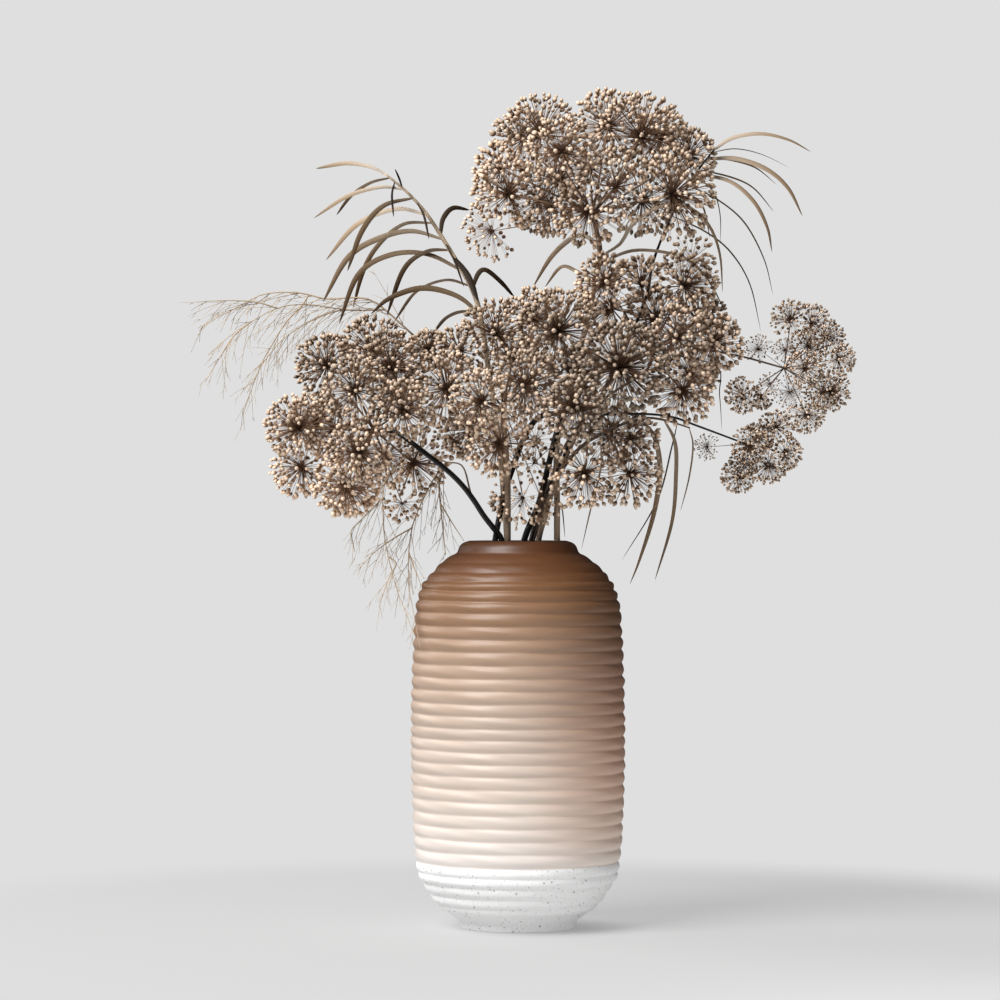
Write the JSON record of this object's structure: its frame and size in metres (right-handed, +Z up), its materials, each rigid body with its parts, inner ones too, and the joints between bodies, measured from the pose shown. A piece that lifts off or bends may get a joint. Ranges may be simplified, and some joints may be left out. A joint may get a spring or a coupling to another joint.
{
  "type": "vase of dried flowers",
  "caption": "Ribbed stoneware vase with a narrow mouth, filled with globe-headed dried umbels, arching leafy stems and fine branching grass.",
  "frame": {"origin": "centre of the vase's foot, on the surface it stands on", "axes": "+Z up along the vase's axis; the front of the arrangement faces -Y, so +X is to its right"},
  "size_m": [0.5163, 0.2318, 0.657],
  "materials": {
    "vase": "satin glaze that runs from dark brown at the shoulder to pale cream, over bare speckled clay at the foot",
    "umbel": "matt dried buds and stalks",
    "leaves": "matt dried leaves on a woody stem",
    "grass": "matt straw"
  },
  "bodies": {
    "root": {"vase": "vase", "umbel_left": "umbel", "umbel_centre_left": "umbel", "umbel_centre_right": "umbel", "umbel_right": "umbel", "umbel_top": "umbel", "umbel_far_upper": "umbel", "umbel_far_lower": "umbel", "leaves_upper_left": "leaves", "leaves_upper_right": "leaves", "leaves_low_right": "leaves", "grass_upper_left": "grass", "grass_lower_left": "grass"}
  },
  "joints": []
}
